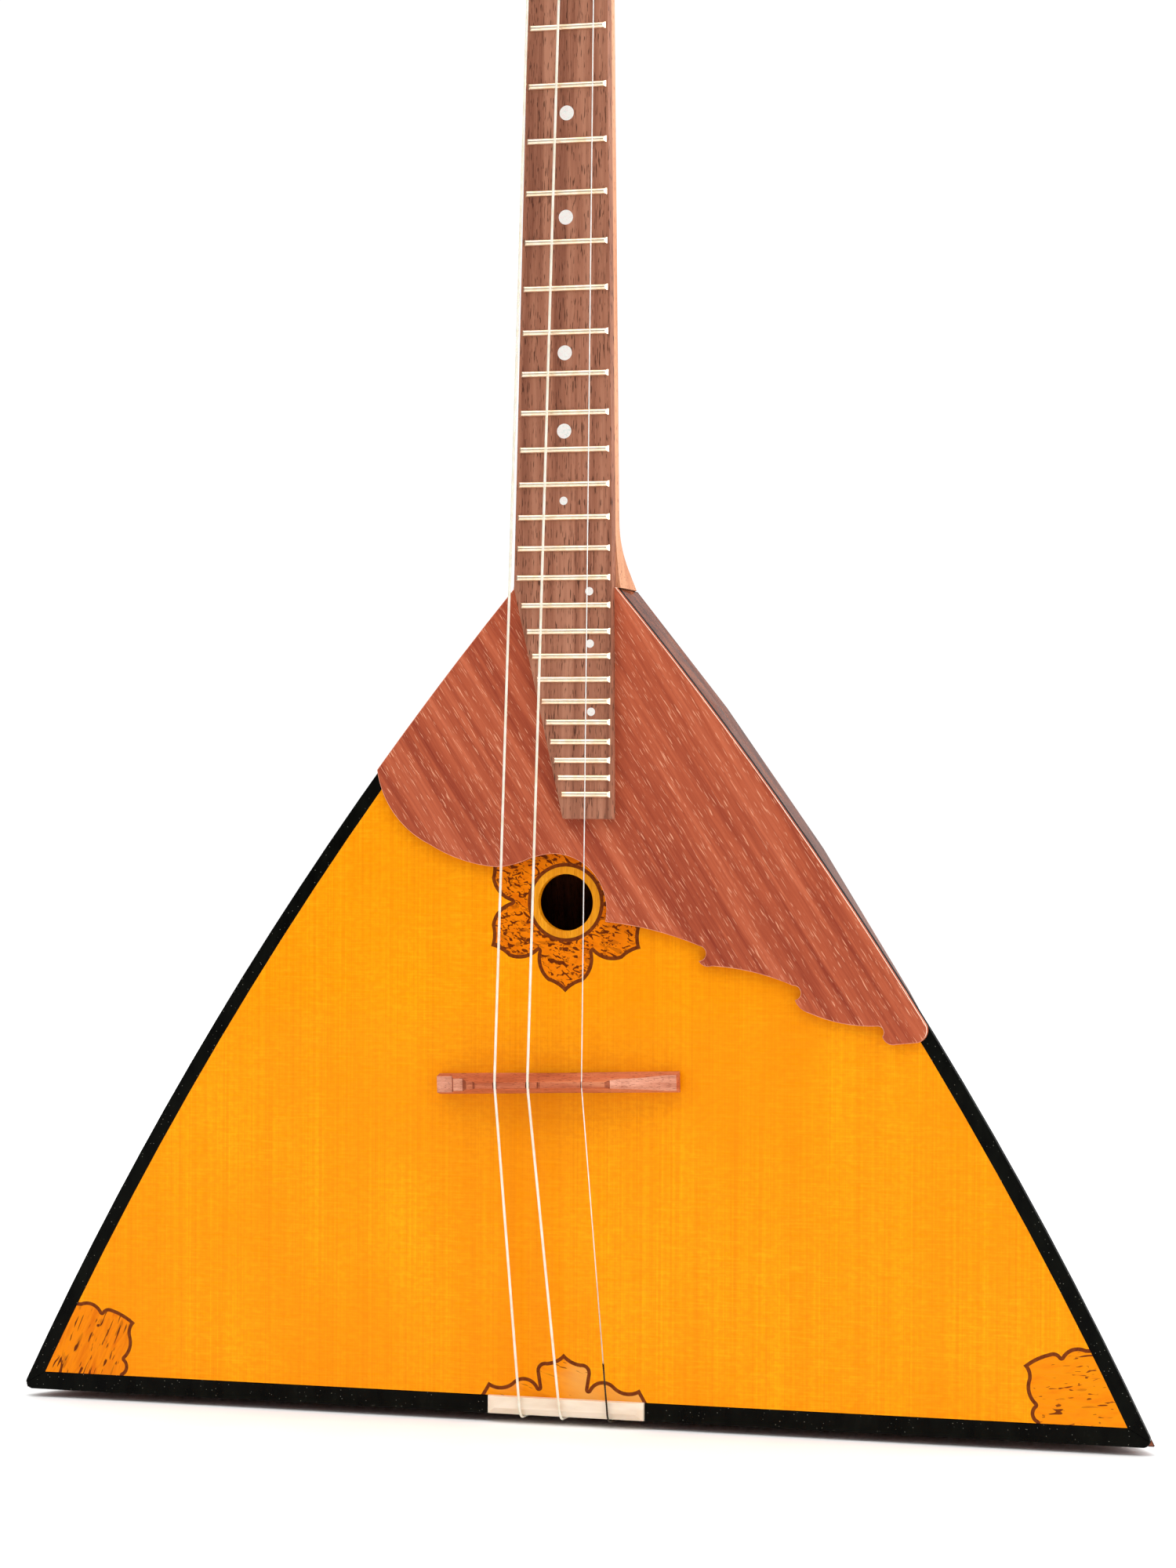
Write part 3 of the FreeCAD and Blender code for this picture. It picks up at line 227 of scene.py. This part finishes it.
def worked_metal(name, light, dark, size, gloss, metallic=1.0):
    """Metal with tool marks of that size (mm) and a little tarnish."""
    s = Surface(name, Metallic=metallic)
    marks = s.noise(size, detail=3, rough=0.6)
    tarnish = s.noise((3, 3, 3), detail=4, rough=0.65)
    body = s.ramp(tarnish, [(0.36, dark), (0.62, light)])
    s.colour(s.mix(s.ramp(marks, [(0.45, 0.25), (0.6, 0.0)]), body, dark))
    s.roughness(marks, *gloss)
    s.relief(marks, 0.004)
    return s.material


def pearl():
    """Shell: pale clouds with a faint pink and green drift."""
    s = Surface("pearl", Specular_IOR_Level=0.6, Coat_Weight=0.3, Coat_Roughness=0.05)
    clouds = s.noise((1.3, 1.3, 0.8), detail=4, rough=0.6, distortion=1.4)
    s.colour(s.ramp(clouds, [(0.3, tone(206, 214, 208)), (0.48, tone(240, 238, 232)),
                             (0.6, tone(232, 218, 214)), (0.74, tone(246, 246, 244))]))
    s.roughness(clouds, 0.12, 0.26)
    s.relief(clouds, 0.004)
    return s.material


GUARD_GRAIN = (0, -33, 0)    # the pickguard's grain runs down to the right
guard_wood = open_grain("pickguard_wood", tone(196, 104, 72), tone(174, 84, 55), tone(136, 54, 36),
                        tone(228, 160, 126), GUARD_GRAIN, size=(1.1, 3.0, 40.0), pores=(0.32, 1.0, 5.0),
                        pore_share=0.635)
# the pickguard's rounded edges get a paler rim: partly the paler wood cut open at the edge, partly a painted
# highlight
guard_rim_and_painted_highlight = open_grain("pickguard_rim_and_painted_highlight", tone(226, 160, 130), tone(210, 138, 108), tone(184, 104, 78),
                        tone(232, 176, 146), GUARD_GRAIN)
# painted highlight: near-white rounded faces along the pickguard's right edge and tip, where the light gleams
guard_painted_highlight = open_grain("pickguard_right_edge_painted_highlight", tone(255, 246, 232), tone(255, 236, 216),
                         tone(248, 214, 188), tone(255, 240, 224), GUARD_GRAIN)
surfaces = {
    "spruce": spruce(),
    "black_edge": black_edge(),
    "pale_ring": open_grain("ring_veneer", tone(238, 160, 30), tone(226, 146, 20), tone(210, 126, 12),
                            tone(196, 110, 10), (0, 0, 0), gloss=(0.2, 0.34), coat=0.04),
    "burl": burl("rosette_burl", tone(232, 124, 2), tone(214, 104, 0), tone(92, 32, 2),
                 (4.2, 3, 2.2), (0, 16, 0), 0.595, 1.8),
    "burl_eyes": burl("corner_burl", tone(240, 140, 4), tone(230, 126, 2), tone(104, 42, 4),
                      (5.2, 3, 1.3), (0, -4, 0), 0.69, 0.5),
    "burl_pale": burl("tail_burl", tone(240, 146, 8), tone(228, 126, 4), tone(120, 50, 6),
                      (8.0, 3, 1.4), (0, 16, 0), 0.715, 0.6, cloudy=tone(232, 168, 84)),
    "inlay_dark": plain_line("dark_line", tone(122, 56, 14), tone(98, 40, 8)),
    "guard_wood": guard_wood,
    "fretboard_wood": open_grain("fretboard_wood", tone(186, 130, 104), tone(162, 106, 82), tone(124, 74, 56),
                                 tone(54, 28, 20), (0, 0, 0), pores=(0.4, 1.0, 4.4), pore_share=0.605),
    "neck_wood": open_grain("neck_wood", tone(230, 174, 136), tone(218, 156, 118), tone(192, 124, 88),
                            tone(156, 90, 60), (0, 0, 0), size=(1.6, 4.0, 60.0), pore_share=0.63,
                            gloss=(0.34, 0.5)),
    "rib_wood": rib_wood("rib_wood", 1.0, 0.0, 0.0),
    "side_rib_wood": rib_wood("side_rib_wood", 1.3, 0.0, 0.0),
    "veneer_wood": open_grain("head_veneer", tone(176, 104, 76), tone(156, 84, 58), tone(126, 62, 42),
                              tone(82, 38, 26), (0, 0, 0), gloss=(0.3, 0.44), coat=0.15),
    "block_wood": open_grain("block_wood", tone(222, 184, 132), tone(206, 164, 110), tone(182, 138, 86),
                             tone(160, 116, 70), (0, 90, 0), gloss=(0.6, 0.75)),
    "bridge_wood": open_grain("bridge_wood", tone(214, 136, 98), tone(192, 106, 72), tone(160, 78, 50),
                              tone(112, 48, 32), (0, 90, 0), size=(0.7, 3.0, 16.0), pores=(0.16, 1, 2.0)),
    "ivory_plastic": moulded("ivory_plastic", tone(240, 226, 206), tone(226, 208, 184)),
    "button_ivory": moulded("button_plastic", tone(240, 226, 204), tone(222, 202, 174)),
    "nylon": moulded("nylon", tone(255, 250, 236), tone(244, 234, 212), 0.2),
    "pearl": pearl(),
    "fret_metal": worked_metal("fret_metal", tone(255, 240, 220), tone(244, 218, 182), (1.2, 1.2, 0.1),
                               (0.26, 0.42)),
    "steel_string": worked_metal("steel_string", tone(250, 250, 246), tone(226, 224, 218), (0.3, 0.3, 0.12),
                                 (0.26, 0.42), metallic=0.6),
    "pin_brass": worked_metal("pin_brass", tone(226, 188, 112), tone(168, 122, 60),
                              (0.2, 0.2, 0.6), (0.2, 0.36)),
    "tuner_steel": worked_metal("tuner_steel", tone(222, 218, 208), tone(206, 201, 188),
                                (0.14, 3, 9), (0.24, 0.4)),
    "screw_steel": worked_metal("screw_steel", tone(222, 218, 208), tone(168, 160, 144),
                                (0.3, 0.3, 0.3), (0.24, 0.4)),
    "bush_steel": worked_metal("bush_steel", tone(232, 230, 224), tone(196, 190, 180),
                               (0.2, 1.5, 0.2), (0.14, 0.26)),
    "post_steel": worked_metal("post_steel", tone(236, 235, 231), tone(202, 198, 190),
                               (0.4, 0.12, 0.4), (0.12, 0.24)),
    "gear_brass": worked_metal("gear_brass", tone(232, 196, 122), tone(178, 134, 70),
                               (0.16, 1, 0.16), (0.24, 0.4)),
    "worm_steel": worked_metal("worm_steel", tone(216, 214, 208), tone(164, 158, 148),
                               (0.12, 1, 1), (0.2, 0.36)),
}
slot_of = {part["node"]: part["material_slot"] for part in frame["record"]["subparts"]}
for name, node in nodes.items():
    node.data.materials.clear()
    node.data.materials.append(surfaces[slot_of[name]])

# the burl of the left corner has steep dark flames, so it has a surface of its own
left_burl = burl("left_corner_burl", tone(234, 132, 4), tone(216, 108, 2), tone(92, 34, 4),
                 (1.3, 3, 7.0), (0, 22, 0), 0.665, 0.4)
nodes["corner_inlay_left"].data.materials[0] = left_burl

# each stave and rib is a board of its own, with its grain along it
LEAN_PER_M = -150.0      # degrees that the grain leans for each metre from the middle
STAVE_LEVEL = 1.02
RIB_LEVEL = 1.25
LEVEL_SPREAD = 0.17      # share by which a board's tone may be off its level
LEVEL_STEP = 2.3         # so that neighbours differ
BOARD_SHIFT = 61.0       # mm from one board's figure to the next
for number, name in enumerate(sorted(n for n in nodes if n.startswith(("back_stave_", "side_rib_")))):
    vertices = nodes[name].data.vertices
    middle_x = sum(v.co.x for v in vertices) / len(vertices)
    usual = STAVE_LEVEL if name.startswith("back") else RIB_LEVEL
    level = usual * (1.0 + LEVEL_SPREAD * math.sin(LEVEL_STEP * number))
    board = rib_wood(name + "_wood", level, LEAN_PER_M * middle_x, BOARD_SHIFT * number)
    nodes[name].data.materials[0] = board

body_of = {node: body for body, members in frame["record"]["behaviour"]["bodies"].items() for node in members}


# ---- pieces --------------------------------------------------------------------------------------
def show(piece_name, mesh, node, *materials):
    """Put a mesh in the scene in place of a CAD node, riding on that node's body."""
    piece = bpy.data.objects.new(piece_name, mesh)
    bpy.context.scene.collection.objects.link(piece)
    for material in materials:
        mesh.materials.append(material)
    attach(piece, body_of[node])
    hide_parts(node)
    return piece


def ease(node, radius, steps=2, sharp=32.0, accents=(), near=None, reshape=None):
    """The node's shape with every sharp edge rounded to that radius in mm.

    reshape is done to the mesh first. near is a test of an edge's middle, and edges that fail it stay sharp.
    accents are pairs of a material and a test. A face takes the last one whose test holds; the test is
    given the face's normal, its middle, and whether the face is part of a rounded edge."""
    work = bmesh.new()
    work.from_mesh(nodes[node].data)
    bmesh.ops.remove_doubles(work, verts=work.verts, dist=WELD)
    bmesh.ops.dissolve_limit(work, angle_limit=math.radians(0.4), verts=work.verts, edges=work.edges)
    if reshape:
        reshape(work)
    edges = [e for e in work.edges if e.is_manifold and e.calc_face_angle() > math.radians(sharp)
             and (near is None or near((e.verts[0].co + e.verts[1].co) / 2))]
    made = bmesh.ops.bevel(work, geom=edges, offset=radius * MM, segments=steps, profile=0.5, affect="EDGES",
                           clamp_overlap=True)
    rounded = set(made["faces"])
    for face in work.faces:
        face.material_index = 0
        for number, (material, test) in enumerate(accents, 1):
            if test(face.normal, face.calc_center_median(), face in rounded):
                face.material_index = number
    mesh = bpy.data.meshes.new(node + "_eased")
    work.to_mesh(mesh)
    work.free()
    mesh.shade_smooth()
    mesh.set_sharp_from_angle(angle=math.radians(40))
    piece = show(node + "_eased", mesh, node, nodes[node].data.materials[0], *[pair[0] for pair in accents])
    normals = piece.modifiers.new("even_normals", "WEIGHTED_NORMAL")
    normals.keep_sharp = True


EASED = {
    "binding_left": 0.9, "binding_right": 0.9, "binding_bottom_left": 0.9, "binding_bottom_right": 0.9,
    "fretboard": 0.25, "nut": 0.25, "head_plate": 0.3,
    "tuner_plate": 0.2, "tail_pins": 0.15,
}
for name, radius in EASED.items():
    ease(name, radius)
seam = rib_wood("stave_seam", 0.42, 0.0, 0.0)
for name in sorted(n for n in nodes if n.startswith(("back_stave_", "side_rib_"))):
    ease(name, 0.4, steps=1, accents=((seam, lambda normal, middle, rounded: rounded),))
saddle_box = [[f(v.co[k] for v in nodes["tail_saddle"].data.vertices) for k in range(3)] for f in (min, max)]
ease("tail_saddle", 1.7, steps=1, near=lambda middle: middle.y < saddle_box[0][1] + MM and (
    middle.z < saddle_box[0][2] + MM or middle.x > saddle_box[1][0] - MM))
ease("pickguard", 0.7, steps=3, accents=(
    # paler rim on every rounded face, partly painted highlight
    (guard_rim_and_painted_highlight, lambda normal, middle, rounded: rounded),
    # painted highlight on the rounded faces that turn right and up
    (guard_painted_highlight, lambda normal, middle, rounded: rounded and normal.x > 0.3 and normal.z > -0.35),
))

# the bridge was carved with a knife: its low steps turned to the front are paler, partly the lighter cut wood and
# partly painted light, and the steep cuts between them are darker with painted shade
RIDGE_BACK = -47.0 * MM    # the steps lie behind this, and the ridge in front of it
bridge_cut_and_painted_light = open_grain("bridge_steps_cut_wood_and_painted_light", tone(232, 168, 142), tone(214, 146, 118), tone(184, 112, 86),
                        tone(150, 84, 62), (0, 90, 0), size=(0.7, 3.0, 9.0), pores=(0.2, 1, 1.4))
bridge_steep_painted_shade = open_grain("steep_cuts_of_bridge_painted_shade", tone(168, 94, 66), tone(142, 72, 48), tone(108, 50, 32),
                          tone(84, 36, 24), (0, 90, 0), size=(0.7, 3.0, 9.0), pores=(0.2, 1, 1.4))
STRING_RADIUS = {1: 0.2 * MM, 2: 0.45 * MM, 3: 0.45 * MM}
NOTCH_REACH = 0.32 * MM    # vertices this near to a string are its notch's wall
NOTCH_ROOM = 0.13 * MM     # how far the wall moves away from it


def open_notches(work):
    """Widen the bridge's notches, so that the slanting strings stay clear of it while it slides."""
    middle = [sum(v.co[k] for v in work.verts) / len(work.verts) for k in range(3)]
    for n, radius in STRING_RADIUS.items():
        bend = [v.co for v in nodes["string_%d" % n].data.vertices if abs(v.co.z - middle[2]) < 4 * MM]
        axis = sum(bend, Vector()) / len(bend)
        for vert in work.verts:
            away = Vector((vert.co.x - axis.x, vert.co.y - axis.y, 0))
            if away.length < radius + NOTCH_REACH:
                vert.co += away.normalized() * NOTCH_ROOM


ease("bridge", 0.12, sharp=14.0, reshape=open_notches, accents=(
    (bridge_cut_and_painted_light, lambda normal, middle, rounded: normal.y < -0.75 and middle.y > RIDGE_BACK),
    (bridge_steep_painted_shade, lambda normal, middle, rounded: 0.5 < abs(normal.x) < 0.98),
))


def wire(piece_name, lines, radius, node, material):
    """Round wires along lists of points, as one mesh."""
    curve = bpy.data.curves.new(piece_name, "CURVE")
    curve.dimensions = "3D"
    curve.bevel_depth = radius
    curve.bevel_resolution = 5
    curve.use_fill_caps = True
    for line in lines:
        spline = curve.splines.new("POLY")
        spline.points.add(len(line) - 1)
        for point, place in zip(spline.points, line):
            point.co = (*place, 1.0)
    guide = bpy.data.objects.new(piece_name, curve)
    mesh = bpy.data.meshes.new_from_object(guide)
    bpy.data.objects.remove(guide)
    mesh.shade_smooth()
    show(piece_name, mesh, node, material)


HOLE_AHEAD = 2.8 * MM    # from the back of the first turn to the post's string hole
# the string's end and its way through the hole, measured from the post's axis
STUB_END = 4.6 * MM
STUB_IN = 1.0 * MM
STUB_PAST = 2.4 * MM
TURN_STEPS = 40          # points in a turn, and in the crossing over it


def coil_of(n):
    """The string's turns on its post, and its end through the post's hole."""
    node = "string_winding_%d" % n
    post = joints["post_turn_%d" % n]
    centre, axis = Vector(post["pos_m"]), Vector(post["axis"]).normalized()
    across = Vector((1, 0, 0))
    up = across.cross(axis)
    places = [v.co - centre for v in nodes[node].data.vertices]
    along = [p.dot(axis) for p in places]
    outer = max((p - axis * p.dot(axis)).length for p in places)
    radius = STRING_RADIUS[n]
    front, back = min(along) + radius, max(along) - radius
    turns = round((back - front) / (2 * radius)) + 1
    side = -1 if n == 3 else 1
    ring = outer - radius

    def point(angle, reach, height):
        return centre + axis * height + across * (math.cos(angle) * reach) + up * (math.sin(angle) * reach)

    start = 0.0 if side > 0 else math.pi
    wound = []
    for k in range(turns * TURN_STEPS + 1):
        share = k / (turns * TURN_STEPS)
        wound.append(point(start + side * 2 * math.pi * turns * share, ring, front + (back - front) * share))
    hole = front - HOLE_AHEAD + radius
    crossing = []
    for k in range(TURN_STEPS + 1):
        share = k / TURN_STEPS
        angle = math.pi * (1.1 + 0.6 * share)
        crossing.append(point(angle, ring + 2 * radius * math.sin(math.pi * share) ** 0.5,
                              hole + (front + radius - hole) * share))
    stub = [point(0, STUB_END, hole), point(0, STUB_IN, hole), point(math.pi, STUB_PAST, hole)]
    return [wound, stub + crossing]


for n in (1, 2, 3):
    name = "string_winding_%d" % n
    wire("wound_string_%d" % n, coil_of(n), STRING_RADIUS[n], name, surfaces[slot_of[name]])

# the steel string's lower end is doubled back and twisted on itself, from the pin to above the saddle
TWIST_ROUTE = [Vector(p) * MM for p in ((18.6, -22.24, 2.52), (18.3, -26.4, 2.52), (17.9, -31.0, 2.5),
                                        (17.4, -38.2, 2.2), (17.1, -40.3, 4.0), (16.9, -40.4, 7.4),
                                        (16.4, -40.9, 14.0), (15.87, -41.45, 22.4), (15.8, -41.53, 23.2))]
TWIST_PITCH = 1.5 * MM
STRAND_OFFSET = 0.17 * MM    # from the twist's middle line to a strand's
STRAND_RADIUS = 0.19 * MM
SLEEVE_TOP = (15 * MM, 60 * MM)    # the sleeve's upper end lies between these heights


def smooth_line(points):
    """Closely spaced points along a smooth curve that starts and ends at the first and last one."""
    curve = bpy.data.curves.new("guide", "CURVE")
    curve.dimensions = "3D"
    curve.resolution_u = 30
    spline = curve.splines.new("NURBS")
    spline.points.add(len(points) - 1)
    for point, place in zip(spline.points, points):
        point.co = (*place, 1.0)
    spline.order_u = 3
    spline.use_endpoint_u = True
    guide = bpy.data.objects.new("guide", curve)
    mesh = bpy.data.meshes.new_from_object(guide)
    line = [v.co.copy() for v in mesh.vertices]
    bpy.data.objects.remove(guide)
    return line


def twisted_pair(points):
    """Two strands laid round a line."""
    strands = [[], []]
    travelled = 0.0
    side = Vector((1, 0, 0))
    for before, here in zip(points, points[1:]):
        along = (here - before).normalized()
        side = (side - along * side.dot(along)).normalized()
        travelled += (here - before).length
        for strand, start in zip(strands, (0.0, math.pi)):
            turn = Matrix.Rotation(start + 2 * math.pi * travelled / TWIST_PITCH, 3, along)
            strand.append(here + turn @ side * STRAND_OFFSET)
    return strands


def untwisted_string():
    """The steel string's run and its loop, without the plain sleeve that stands for the twisted end."""
    work = bmesh.new()
    work.from_mesh(nodes["string_1"].data)
    bmesh.ops.remove_doubles(work, verts=work.verts, dist=WELD)
    left = set(work.verts)
    sleeve = []
    while left:
        island, edge_of_island = set(), [left.pop()]
        while edge_of_island:
            vert = edge_of_island.pop()
            island.add(vert)
            for edge in vert.link_edges:
                other = edge.other_vert(vert)
                if other in left:
                    left.discard(other)
                    edge_of_island.append(other)
        if SLEEVE_TOP[0] < max(v.co.z for v in island) < SLEEVE_TOP[1]:
            sleeve += island
    bmesh.ops.delete(work, geom=sleeve, context="VERTS")
    mesh = bpy.data.meshes.new("steel_string")
    work.to_mesh(mesh)
    work.free()
    mesh.materials.clear()
    mesh.shade_smooth()
    show("steel_string", mesh, "string_1", surfaces["steel_string"])


untwisted_string()
twist_steel = worked_metal("twisted_steel", tone(92, 82, 68), tone(36, 30, 24), (0.3, 0.3, 0.12), (0.3, 0.5))
wire("steel_string_twist", twisted_pair(smooth_line(TWIST_ROUTE)), STRAND_RADIUS, "string_1", twist_steel)

# ---- floor, light, camera ------------------------------------------------------------------------
scene = bpy.context.scene
FLOOR_RADIUS = 2.4
WORLD_AS_LIGHT = 0.33    # the white background's strength as a light
WORLD_TO_CAMERA = 1.05   # and as the camera sees it


def make_floor():
    """Pale paper, just large enough that its edge lies outside the picture's shadows."""
    work = bmesh.new()
    bmesh.ops.create_circle(work, cap_ends=True, radius=FLOOR_RADIUS, segments=96)
    mesh = bpy.data.meshes.new("floor")
    work.to_mesh(mesh)
    work.free()
    s = Surface("floor_paper", Specular_IOR_Level=0.1)
    grain = s.noise((40, 40, 40), detail=3)
    s.colour(s.ramp(grain, [(0.3, tone(247, 247, 246)), (0.7, tone(250, 250, 250))]))
    s.roughness(grain, 0.75, 0.9)
    mesh.materials.append(s.material)
    floor = bpy.data.objects.new("floor", mesh)
    scene.collection.objects.link(floor)


def lamp(name, place, aim, size, power):
    data = bpy.data.lights.new(name, "AREA")
    data.shape = "RECTANGLE"
    data.size, data.size_y = size
    data.energy = power
    made = bpy.data.objects.new(name, data)
    scene.collection.objects.link(made)
    made.location = place
    made.rotation_mode = "QUATERNION"
    made.rotation_quaternion = (Vector(aim) - Vector(place)).to_track_quat("-Z", "Y")


def make_world():
    """White to the camera, and softer as a light."""
    world = bpy.data.worlds.new("studio")
    scene.world = world
    world.use_nodes = True
    tree = world.node_tree
    background = tree.nodes["Background"]
    background.inputs["Color"].default_value = (1.0, 1.0, 1.0, 1.0)
    path = tree.nodes.new("ShaderNodeLightPath")
    level = tree.nodes.new("ShaderNodeMapRange")
    level.inputs["To Min"].default_value = WORLD_AS_LIGHT
    level.inputs["To Max"].default_value = WORLD_TO_CAMERA
    tree.links.new(path.outputs["Is Camera Ray"], level.inputs["Value"])
    tree.links.new(level.outputs[0], background.inputs["Strength"])


def make_sky_lamp():
    """Very wide, even light from above, so that the paper stays white far away."""
    data = bpy.data.lights.new("overhead", "SUN")
    data.angle = math.radians(70)
    data.energy = 2.1
    made = bpy.data.objects.new("overhead", data)
    scene.collection.objects.link(made)
    made.rotation_euler = (math.radians(14), 0, 0)


make_floor()
make_world()
make_sky_lamp()
CENTRE = (0.0, -0.02, 0.3)
lamp("key_left", (-1.9, -1.5, 1.5), CENTRE, (1.2, 1.8), 17.0)
lamp("key_right", (2.1, -1.3, 1.2), CENTRE, (1.2, 1.8), 17.0)
lamp("side_right", (2.2, 0.0, 0.9), CENTRE, (1.0, 1.6), 20.0)
lamp("back_left", (-1.6, 2.0, 1.4), CENTRE, (1.2, 1.6), 20.0)
lamp("back_right", (1.6, 2.0, 1.4), CENTRE, (1.2, 1.6), 20.0)
scene.view_settings.view_transform = "Standard"

EYE = Vector((0.36425, -1.27750, 0.22575))
TARGET = Vector((0.0080, -0.0365, 0.2253))
ROLL = math.radians(0.24)
SENSOR = 36.0            # mm, along the picture's longer side
LENS = 84.582            # mm
camera_data = bpy.data.cameras.new("camera")
camera_data.sensor_width = SENSOR
camera_data.lens = LENS
camera_data.clip_start, camera_data.clip_end = 0.05, 60.0
camera = bpy.data.objects.new("camera", camera_data)
scene.collection.objects.link(camera)
camera.location = EYE
camera.rotation_mode = "QUATERNION"
aim = (TARGET - EYE).to_track_quat("-Z", "Y")
camera.rotation_quaternion = aim @ Matrix.Rotation(ROLL, 3, "Z").to_quaternion()
scene.camera = camera
